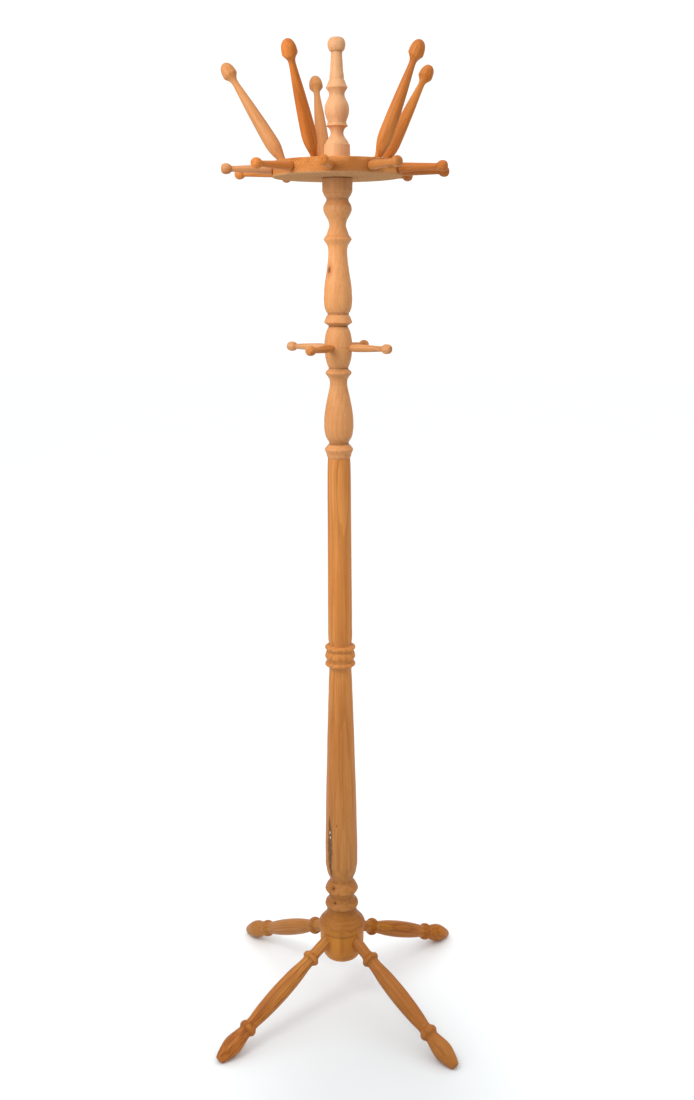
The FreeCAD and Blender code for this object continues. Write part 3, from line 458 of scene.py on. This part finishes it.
def turned_wood(name, light, mid, dark, pith=(0.045, 0.02), ring=0.0034, axis="Z", figure=1.0, streaks=1.0, flecks=0.0, drift=0.012, wander=0.010,
                tool=1.0, end=0.45, knots=(), bark=(), patches=0.0, pale=None, gloss=1.0, gain=(1, 1, 1)):
    """Clear-finished hardwood as a solid texture: growth rings about a pith line beside the piece,
    so that turning through them gives cathedrals, bands on beads and end grain where it falls."""
    m = bpy.data.materials.new(name)
    m.use_nodes = True
    m.node_tree.nodes.clear()
    k = Tree(m)
    light, mid, dark = [tuple(a * b for a, b in zip(c, gain)) for c in (light, mid, dark)]
    loc = k.node("ShaderNodeAttribute", attribute_name="gloc").outputs["Vector"]
    form_mask = k.node("ShaderNodeAttribute", attribute_name="gwear").outputs["Color"]
    tn = k.node("ShaderNodeAttribute", attribute_name="gtone")
    tone, lively = tn.outputs["Color"], tn.outputs["Alpha"]
    p = loc
    if axis == "Y":      # a board whose grain runs front to back
        s = k.node("ShaderNodeSeparateXYZ")
        k.put(s.inputs[0], loc)
        c = k.node("ShaderNodeCombineXYZ")
        for i, j in enumerate((0, 2, 1)):
            k.put(c.inputs[i], s.outputs[j])
        p = c.outputs[0]
    sep = k.node("ShaderNodeSeparateXYZ")
    k.put(sep.inputs[0], form_mask)
    cav, proud, endg = sep.outputs
    ps = k.node("ShaderNodeSeparateXYZ")
    k.put(ps.inputs[0], p)
    z = ps.outputs[2]
    # the pith line drifts and the rings wander along the piece
    off = k.vec("SCALE", k.vec("SUBTRACT", k.noise(p, (5.0, 5.0, 1.7), 2, color=True), (0.5, 0.5, 0.5)), scale=wander * 2)
    q = k.node("ShaderNodeSeparateXYZ")
    k.put(q.inputs[0], k.vec("ADD", p, off))
    px = k.math("SUBTRACT", q.outputs[0], k.math("MULTIPLY_ADD", z, drift, pith[0]))
    py = k.math("SUBTRACT", q.outputs[1], k.math("MULTIPLY_ADD", z, -drift * 0.6, pith[1]))
    d = k.math("SQRT", k.math("ADD", k.times(px, px), k.times(py, py)))
    # knots push the rings aside
    knot = stain = None
    for (kx, ky, kz, kr, stretch) in knots:
        v = k.vec("MULTIPLY", k.vec("SUBTRACT", loc, (kx, ky, kz)), (1, 1, 1 / stretch))
        r = k.math("DIVIDE", k.vec("LENGTH", v), kr)
        d = k.math("ADD", d, k.times(k.math("POWER", 2.718, k.times(k.times(r, r), -0.22)), kr * 0.9))
        w = k.span(k.math("ADD", r, k.times(k.noise(loc, 420, 2), 0.6)), 0.75, 1.6, 1.0, 0.0)
        h = k.span(k.math("ADD", r, k.times(k.noise(loc, 200, 2), 0.9)), 1.2, 3.4, 1.0, 0.0)
        knot = w if knot is None else k.math("MAXIMUM", knot, w)
        stain = h if stain is None else k.math("MAXIMUM", stain, h)
    uneven = k.noise(p, (38, 38, 2.2), 2)
    fr = k.math("FRACT", k.math("ADD", k.math("DIVIDE", d, ring), k.times(uneven, 1.3)))
    late = k.ramp(fr, [(0.0, 0.0), (0.45, 0.10), (0.78, 0.42), (0.93, 1.0), (0.985, 0.75), (1.0, 0.0)])
    late = k.times(k.times(late, lively), k.span(k.noise(p, (14, 14, 3), 1), 0.3, 0.72, 0.2, 0.9))
    # fibres, pores, dashes and clouds
    fibre = k.noise(p, (1500, 1500, 26), 3, 0.6)
    streak = k.noise(p, (260, 260, 4.5), 3, 0.55)
    broad = k.noise(p, (70, 70, 3.0), 2, 0.5)
    pore = k.times(k.span(k.noise(p, (2100, 2100, 150), 1), 0.66, 0.76), k.span(fr, 0.35, 0.95, 0.25, 1.0))
    cloud = k.noise(p, (11, 11, 4.0), 3)
    body = k.mix(k.span(cloud, 0.30, 0.72), light, mid)
    body = k.mix(k.math("MULTIPLY", late, 0.62 * figure, clamp=True), body, dark)
    body = k.mix(k.times(lively, k.span(broad, 0.50, 0.78, 0.0, 0.42 * streaks)), body, dark)
    body = k.mix(k.times(lively, k.span(streak, 0.46, 0.74, 0.0, 0.40 * streaks)), body, dark)
    body = k.mix(k.span(streak, 0.24, 0.46, 0.35 * streaks, 0.0), body, shade(light, 1.08))
    if flecks:
        dash = k.span(k.noise(p, (420, 420, 22), 2, 0.6), 0.62, 0.74, 0.0, flecks)
        dash = k.times(dash, k.span(k.noise(p, (60, 60, 16), 2), 0.50, 0.66))
        body = k.mix(k.times(dash, lively), body, shade(dark, 0.45))
    if patches:
        body = k.mix(k.span(k.noise(loc, (26, 3, 30), 2), 0.44, 0.56, 0.0, patches), body, shade(dark, 1.05))
    grey = k.span(fibre, 0.25, 0.75, 0.88, 1.09, smooth=False)
    fib = k.node("ShaderNodeCombineXYZ")
    for i in range(3):
        k.put(fib.inputs[i], grey)
    body = k.mix(1.0, body, fib.outputs[0], "MULTIPLY")
    body = k.mix(k.times(pore, 0.32), body, shade(dark, 0.45))
    if pale is not None:      # painted floor light: the disc's underside and lower edge are made paler and greyer for the light the white floor throws up onto them
        under = k.node("ShaderNodeAttribute", attribute_name=pale[0]).outputs["Fac"]
        underside_light = k.mix(k.math("MULTIPLY", late, 0.5, clamp=True), pale[1], shade(pale[1], 0.78))
        underside_light = k.mix(k.span(streak, 0.4, 0.75, 0.0, 0.5), underside_light, shade(pale[1], 0.82))
        body = k.mix(under, body, underside_light)
    # end grain drinks the finish and turns deeper
    body = k.mix(k.times(k.span(endg, 0.05, 0.9), end), body, shade(dark, 0.8))
    # proud edges are made paler in patches; hollows and grooves are painted darker, as the shade that falls in them
    blotch = k.noise(loc, (90, 90, 9), 2)
    body = k.mix(k.times(k.span(proud, 0.25, 1.0), k.span(blotch, 0.35, 0.65, 0.05, 0.30)), body, shade(light, 1.2))
    # painted shade: grooves and hollows are darkened towards the dark wood colour
    body = k.mix(k.times(k.span(cav, 0.10, 0.66), k.span(blotch, 0.25, 0.7, 0.62, 0.92)), body, shade(dark, 0.34))
    if knot is not None:
        core = k.mix(k.span(k.noise(loc, 700, 2), 0.4, 0.6), shade(dark, 0.26), shade(dark, 0.72))
        body = k.mix(k.times(stain, 0.5), body, shade(dark, 0.95))
        body = k.mix(k.times(knot, 0.92), body, core)
    for (attr, rim_tone) in bark:      # a bark pocket that the turner cut into
        bk = k.node("ShaderNodeAttribute", attribute_name=attr).outputs["Color"]
        bs = k.node("ShaderNodeSeparateXYZ")
        k.put(bs.inputs[0], bk)
        inside, glint, halo = bs.outputs
        rag = k.noise(loc, (900, 900, 160), 3, 0.6)
        body = k.mix(k.times(halo, k.span(rag, 0.3, 0.7, 0.35, 0.85)), body, shade(dark, rim_tone))
        barkc = k.mix(k.span(rag, 0.32, 0.66), (0.085, 0.040, 0.015), (0.27, 0.145, 0.060))
        body = k.mix(k.span(k.math("ADD", inside, k.times(k.math("SUBTRACT", rag, 0.5), 0.5)), 0.35, 0.62), body, barkc)
        body = k.mix(k.span(k.math("ADD", glint, k.times(k.math("SUBTRACT", rag, 0.5), 0.9)), 0.42, 0.60), body, (0.78, 0.74, 0.66))
    # the piece's tone multiplies the colour, and with it the painted light and shade along the hub and columns
    body = k.mix(1.0, body, tone, "MULTIPLY")
    b = k.node("ShaderNodeBsdfPrincipled")
    k.put(b.inputs["Base Color"], body)
    rough = k.math("ADD", k.span(fibre, 0.2, 0.8, 0.38, 0.50, smooth=False), k.times(cav, 0.16))
    rough = k.math("ADD", rough, k.times(k.span(k.noise(loc, 26, 3), 0.4, 0.8), 0.08))
    if bark:
        rough = k.math("ADD", rough, k.times(inside, 0.35))
    k.put(b.inputs["Roughness"], rough)
    b.inputs["IOR"].default_value = 1.44
    b.inputs["Specular IOR Level"].default_value = 0.17 * gloss
    b.inputs["Coat Weight"].default_value = 0.03 * gloss
    b.inputs["Coat Roughness"].default_value = 0.28
    b.inputs["Coat IOR"].default_value = 1.45
    # relief: raised fibres, open pores, faint tool rings round the piece, small dents
    rings = k.math("SINE", k.math("ADD", k.times(z, 5200.0), k.times(k.noise(p, (6, 6, 260), 2), 14.0)))
    relief = k.math("ADD", k.times(fibre, 0.55), k.times(pore, -0.8))
    relief = k.math("ADD", relief, k.times(late, 0.35))
    relief = k.math("ADD", relief, k.times(rings, 0.10 * tool))
    relief = k.math("ADD", relief, k.times(k.span(k.noise(loc, 55, 2), 0.68, 0.78), -1.6))
    bump = k.node("ShaderNodeBump")
    bump.inputs["Strength"].default_value = 0.55
    bump.inputs["Distance"].default_value = 0.00012
    k.put(bump.inputs["Height"], relief)
    k.put(b.inputs["Normal"], bump.outputs[0])
    out = k.node("ShaderNodeOutputMaterial")
    k.put(out.inputs[0], b.outputs[0])
    return m


def spot(azimuth, r, z, size, stretch=1.0):
    v = out_vector(azimuth) * r
    return (v.x * MM, v.y * MM, z * MM, size * MM, stretch)


LIGHT = {"leg": srgb(206, 140, 78), "hub": srgb(198, 134, 74), "shaft": srgb(214, 146, 86), "column": srgb(232, 172, 116), "disc": srgb(218, 150, 88),
         "peg": srgb(220, 148, 88), "finial": srgb(240, 190, 140)}
MID = {"leg": srgb(186, 112, 54), "hub": srgb(178, 110, 54), "shaft": srgb(198, 126, 66), "column": srgb(222, 156, 98), "disc": srgb(196, 124, 64),
       "peg": srgb(204, 124, 62), "finial": srgb(232, 174, 122)}
DARK = {"leg": srgb(138, 70, 28), "hub": srgb(132, 74, 32), "shaft": srgb(152, 86, 38), "column": srgb(182, 114, 62), "disc": srgb(146, 84, 36),
        "peg": srgb(162, 86, 36), "finial": srgb(202, 138, 86)}


def wood(key, **more):
    return turned_wood(key + "_wood", LIGHT[key], MID[key], DARK[key], gain=GAIN[key], **more)


MATERIALS = {
    "wood_leg": wood("leg", pith=(0.010, 0.052), ring=0.0050, drift=0.03, figure=1.1, streaks=1.5, flecks=0.8, end=0.30),
    "wood_hub": wood("hub", pith=(0.002, 0.0015), ring=0.0056, drift=0.002, wander=0.0016, figure=0.9, streaks=0.45, flecks=0.12, end=0.10),
    "wood_shaft": wood("shaft", pith=(-0.012, 0.060), ring=0.0062, drift=-0.010, figure=1.2, streaks=0.75, flecks=0.22, end=0.22, bark=(("gbark", 0.55),),
                       knots=(spot(-31, 28.5, 255.0, 2.6, 1.2), spot(-27, 26.6, 222.4, 2.2, 1.1), spot(-14, 30.7, 395, 0.8, 2.0))),
    "wood_column": wood("column", pith=(-0.050, 0.040), ring=0.0058, figure=0.42, streaks=0.55, flecks=0.08, end=0.22,
                        knots=(spot(-47, 18.9, 1458, 3.8, 1.7),)),
    "wood_disc": wood("disc", pith=(0.030, -0.070), ring=0.0052, axis="Y", tool=0.0, figure=0.7, streaks=0.8, end=0.16, patches=0.6,
                      pale=("gpale", srgb(191, 144, 101)), gloss=0.0),
    "wood_peg": wood("peg", pith=(0.022, 0.040), ring=0.0050, figure=0.6, streaks=1.1, flecks=0.15, end=0.18),
    "wood_finial": wood("finial", pith=(-0.050, 0.040), ring=0.0060, figure=0.45, streaks=0.6, flecks=0.05, end=0.2),
}
# ------------------------------------------------------------------ pieces
def flat_foot(place):
    """The foot's underside is cut level with the floor."""
    inv = place.inverted()

    def carve(co, norm, cavs):
        m = np.array(place)
        w = co * MM @ m[:3, :3].T + m[:3, 3]
        w[:, 2] = np.maximum(w[:, 2], 0.0)
        n = np.array(inv)
        return (w @ n[:3, :3].T + n[:3, 3]) / MM, cavs
    return carve


leg_names = {45: "leg_front_right", 135: "leg_rear_right", -135: "leg_rear_left", -45: "leg_front_left"}
for i, az in enumerate((45, 135, -135, -45)):
    place = at((0, 0, LEG_AXIS_Z), aim(az, 90 + LEG_DROP))
    lathe("turned_" + leg_names[az], LEG, place, "stand", leg_names[az], "wood_leg", shift=(0.013 * i, -0.009 * i, 0.61 * i),
          segments=96, carve=flat_foot(place))

lathe("turned_hub", [(0, 95, 0)] + HUB + [(0, 206, 0)], at((0, 0, 0)), "stand", "leg_hub", "wood_hub", segments=160)


def pocket(co):
    """Bark pocket on the front left of the lower column: how far each point is inside it (0 to 1),
    its pale splinter, and the darkened wood round it."""
    az = np.degrees(np.arctan2(co[:, 0], -co[:, 1]))
    z, r = co[:, 2], np.hypot(co[:, 0], co[:, 1])
    s = (414.0 - z) / 137.0
    mid = -46.0 + 5.2 * s + 0.7 * np.sin(z / 7.3) + 0.45 * np.sin(z / 2.9 + 1.0)
    t = np.radians(az - mid) * r
    half = np.interp(s, (0, 0.08, 0.2, 0.32, 0.5, 0.64, 0.8, 0.92, 1.0), (0.0, 1.3, 3.1, 4.4, 5.6, 4.9, 3.0, 1.4, 0.0))
    half = half * (1 + 0.14 * np.sin(z / 3.1) + 0.08 * np.sin(z / 1.3 + 2))
    inside = np.clip(1.0 - np.abs(t) / np.maximum(half, 1e-3), 0, 1)
    inside[(s <= 0) | (s >= 1) | (r < 16)] = 0
    chip = np.maximum(1 - np.hypot((t + 0.2) / 2.0, (z - 376.5) / 4.6), 1 - np.hypot((t - 0.6) / 1.7, (z - 366.5) / 3.4))
    halo = np.clip(1.0 - (np.abs(t) - half) / 2.6, 0, 1) * np.clip(np.minimum(s + 0.05, 1.05 - s) * 8, 0, 1)
    halo[r < 16] = 0
    return np.clip(inside ** 0.6, 0, 1), np.clip(chip * 1.6, 0, 1), halo


def paint_pocket(co):
    return {"gbark": np.stack(pocket(co), 1)}


def carve_pocket(co, norm, cavs):
    inside, chip, halo = pocket(co)
    rough = 0.75 + 0.25 * np.sin(co[:, 2] / 1.7) * np.sin(co[:, 2] / 4.1 + co[:, 0])
    co = co - norm * (1.15 * inside * rough * (1 - 0.8 * chip))[:, None]
    return co, cavs


near_pocket = [a - 90.0 for a in np.arange(-60.0, -26.0, 0.8)]
elsewhere = [a - 90.0 for a in np.arange(-26.0, 300.0, 2.25)]
lathe("turned_lower_column", LOWER_COLUMN, at((0, 0, 0)), "stand", "lower_column", "wood_shaft", dense=(272, 420, 1.2), angles=near_pocket + elsewhere,
      carve=carve_pocket, paint=paint_pocket)
lathe("turned_upper_column", [(0, 1121.6, 0)] + UPPER_COLUMN + [(0, 1614.2, 0)], at((0, 0, 0)), "stand", "upper_column", "wood_column", segments=160)
for i in range(4):
    lathe("turned_lower_peg_%d" % (i + 1), LOWER_PEG, at((0, 0, LOW_Z), aim(FIRST["low"] + 90 * i, 90)), "stand", "lower_peg_%d" % (i + 1), "wood_peg",
          shift=(0.011 * i, 0.007 * i, 3.1 + 0.3 * i), segments=64)

disc = [(9.07, 0, 0)] + DISC + [(9.07, 26, 0), (9.07, 0, 0)]


# painted floor light: the lowest 3.4 mm of the disc, underside and lower rounded edge, is marked to be coloured paler
# and greyer, as lit by light bounced up from the white floor
def paint_disc_underside_light(co):
    underside_light = np.clip((3.4 - co[:, 2]) / 1.4, 0, 1)
    return {"gpale": np.stack([underside_light, underside_light, underside_light], 1)}


lathe("turned_disc", disc, at((0, 0, DISC_Z)), "crown", "crown_disc", "wood_disc", segments=224, grain=(0, 1, 0), closed=True, paint=paint_disc_underside_light)
for i in range(10):
    lathe("turned_rim_peg_%d" % (i + 1), RIM_PEG, at((0, 0, RIM_Z), aim(FIRST["rim"] + 36 * i, 90)), "crown", "rim_peg_%d" % (i + 1), "wood_peg",
          shift=(0.012 * (i % 4), 0.009 * (i % 3), 5.0 + 0.27 * i), segments=64)
for i, (az, lean, side) in enumerate(LONG):
    er = out_vector(az)
    et = Vector((-er.y, er.x, 0))
    d = (er * math.tan(math.radians(lean)) + et * math.tan(math.radians(side)) + Vector((0, 0, 1))).normalized()
    place = at(er * LONG_R + Vector((0, 0, DISC_Z + DISC_T)), aim(math.degrees(math.atan2(d.x, -d.y)), math.degrees(math.acos(d.z))))
    lathe("turned_long_peg_%d" % (i + 1), LONG_PEG, place, "crown", "long_peg_%d" % (i + 1), "wood_peg", shift=(0.010 * i, -0.012 * i, 9.0 + 0.41 * i),
          segments=80)
lathe("turned_finial", FINIAL, at((0, 0, 0)), "stand", "finial", "wood_finial", segments=128)

# ------------------------------------------------------------------ floor, light, camera
# the grey the floor falls off to away from the piece is painted shade, standing in for less light out there
FLOOR_NEAR, FLOOR_FAR, FLOOR_WHITE, FLOOR_GREY = 0.85, 2.0, 0.96, 0.42
# world brightness: (direction, cosine where it starts, cosine where it is full, amount)
LOBES = [((0, 0, 1), -2.0, -1.5, 0.33), ((0, 0, 1), 0.2, 0.95, 0.97), ((-1, 0, 0), 0.1, 0.95, 0.36), ((1, 0, 0), 0.1, 0.95, 0.32),
         ((0, 1, 0), 0.885, 0.93, 0.75)]
# softboxes: azimuth, distance, height, size, height aimed at, power
BOXES = [(-42, 1.05, 1.8, 0.6, 1.4, 8.9), (-42, 1.05, 2.4, 0.6, 1.4, 2.3), (40, 1.05, 1.8, 0.6, 1.4, 1.5)]
scene = bpy.context.scene
fm = bpy.data.materials.new("studio_floor")
fm.use_nodes = True
ft = fm.node_tree
fb = ft.nodes["Principled BSDF"]
fb.inputs["Roughness"].default_value = 0.85
fb.inputs["Specular IOR Level"].default_value = 0.2


def floor_math(op, a, b=None):
    n = ft.nodes.new("ShaderNodeMath")
    n.operation = op
    for sock, v in zip(n.inputs, (a, b)):
        if isinstance(v, bpy.types.NodeSocket):
            ft.links.new(v, sock)
        elif v is not None:
            sock.default_value = v
    return n.outputs[0]


# white paper under and behind the piece, painted grey to the sides and in front as the shade where the studio light
# does not reach
fc = ft.nodes.new("ShaderNodeTexCoord")
fs = ft.nodes.new("ShaderNodeSeparateXYZ")
ft.links.new(fc.outputs["Object"], fs.inputs[0])
back = floor_math("MAXIMUM", fs.outputs[1], 0.0)
side = floor_math("MAXIMUM", floor_math("SUBTRACT", floor_math("ABSOLUTE", fs.outputs[0]), floor_math("MULTIPLY", back, 0.45)), 0.0)
front = floor_math("MINIMUM", fs.outputs[1], 0.0)
reach = floor_math("SQRT", floor_math("ADD", floor_math("MULTIPLY", side, side), floor_math("MULTIPLY", front, front)))
fr = ft.nodes.new("ShaderNodeMapRange")
fr.interpolation_type = "SMOOTHSTEP"
for i, v in enumerate((FLOOR_NEAR, FLOOR_FAR, FLOOR_WHITE, FLOOR_GREY), 1):
    fr.inputs[i].default_value = v
ft.links.new(reach, fr.inputs[0])
# painted soft shadow: the floor is greyer under and in front of the piece
patch = floor_math("SQRT", floor_math("ADD", floor_math("POWER", floor_math("DIVIDE", floor_math("SUBTRACT", fs.outputs[0], 0.07), 0.50), 2.0),
                                      floor_math("POWER", floor_math("DIVIDE", floor_math("ADD", fs.outputs[1], 0.36), 0.66), 2.0)))
pr = ft.nodes.new("ShaderNodeMapRange")
pr.interpolation_type = "SMOOTHSTEP"
for i, v in enumerate((0.10, 1.0, 0.745, 1.0), 1):
    pr.inputs[i].default_value = v
ft.links.new(patch, pr.inputs[0])
floor_tone_with_shadow = floor_math("MULTIPLY", fr.outputs[0], pr.outputs[0])
cc = ft.nodes.new("ShaderNodeCombineXYZ")
for i, v in enumerate((0.954, 0.986, 1.0)):
    ft.links.new(floor_math("MULTIPLY", floor_tone_with_shadow, v), cc.inputs[i])
ft.links.new(cc.outputs[0], fb.inputs["Base Color"])
me = bpy.data.meshes.new("studio_floor")
s = 14.0
me.from_pydata([(-s, -s, 0), (s, -s, 0), (s, s, 0), (-s, s, 0)], [], [(0, 1, 2, 3)])
me.materials.append(fm)
floor = bpy.data.objects.new("studio_floor", me)
scene.collection.objects.link(floor)

world = bpy.data.worlds.new("studio")
scene.world = world
world.use_nodes = True
wt = world.node_tree
bg = wt.nodes["Background"]
geo = wt.nodes.new("ShaderNodeTexCoord")


def lobe(direction, low, high, amount):
    """Soft patch of studio brightness round a direction."""
    dp = wt.nodes.new("ShaderNodeVectorMath")
    dp.operation = "DOT_PRODUCT"
    wt.links.new(geo.outputs["Generated"], dp.inputs[0])
    dp.inputs[1].default_value = direction
    mr = wt.nodes.new("ShaderNodeMapRange")
    mr.interpolation_type = "SMOOTHSTEP"
    for i, v in enumerate((low, high, 0.0, amount), 1):
        mr.inputs[i].default_value = v
    wt.links.new(dp.outputs["Value"], mr.inputs[0])
    return mr.outputs[0]


total = None
for patch in LOBES:
    out = lobe(*patch)
    if total is not None:
        add = wt.nodes.new("ShaderNodeMath")
        add.operation = "ADD"
        wt.links.new(total, add.inputs[0])
        wt.links.new(out, add.inputs[1])
        out = add.outputs[0]
    total = out
wt.links.new(total, bg.inputs["Strength"])
bg.inputs["Color"].default_value = (1.0, 1.0, 1.0, 1)


def softbox(name, pos, target, size, power, color=(1, 1, 1)):
    d = bpy.data.lights.new(name, "AREA")
    d.shape, d.size, d.size_y, d.energy, d.color = "RECTANGLE", size[0], size[1], power, color
    o = bpy.data.objects.new(name, d)
    scene.collection.objects.link(o)
    o.location = pos
    o.rotation_euler = (Vector(pos) - Vector(target)).to_track_quat("Z", "Y").to_euler()
    return o


for k, (az, dist, z, size, aim_z, power) in enumerate(BOXES):
    v = out_vector(az) * dist
    box = softbox("softbox_%d" % k, (v.x, v.y, z), (0, 0, aim_z), (size, size), power)
    box.visible_camera = False

# the camera stands in front, a little to the right of the frame's own front, and looks down
F_PX, PITCH, ROLL, HEIGHT, DIST, YAW, TURN = 1150.4, 13.71, -0.27, 1.4594, 2.1003, 0.378, 3.0
p, r, w = math.radians(PITCH), math.radians(ROLL), math.radians(YAW)
right = Vector((math.cos(w), -math.sin(w), 0))
ahead = Vector((math.sin(w), math.cos(w), 0))
fwd = ahead * math.cos(p) - Vector((0, 0, 1)) * math.sin(p)
up = ahead * math.sin(p) + Vector((0, 0, 1)) * math.cos(p)
cr = right * math.cos(r) + up * math.sin(r)
cu = up * math.cos(r) - right * math.sin(r)
m = Matrix((cr, cu, -fwd)).transposed().to_4x4()
m.translation = Vector((0, -DIST, HEIGHT))
cam = bpy.data.cameras.new("camera")
cam.sensor_fit = "VERTICAL"
cam.sensor_height = 36.0
cam.lens = F_PX / 1100.0 * 36.0
co = bpy.data.objects.new("camera", cam)
scene.collection.objects.link(co)
co.matrix_world = rot_z(TURN) @ m
scene.camera = co
scene.view_settings.view_transform = "Standard"
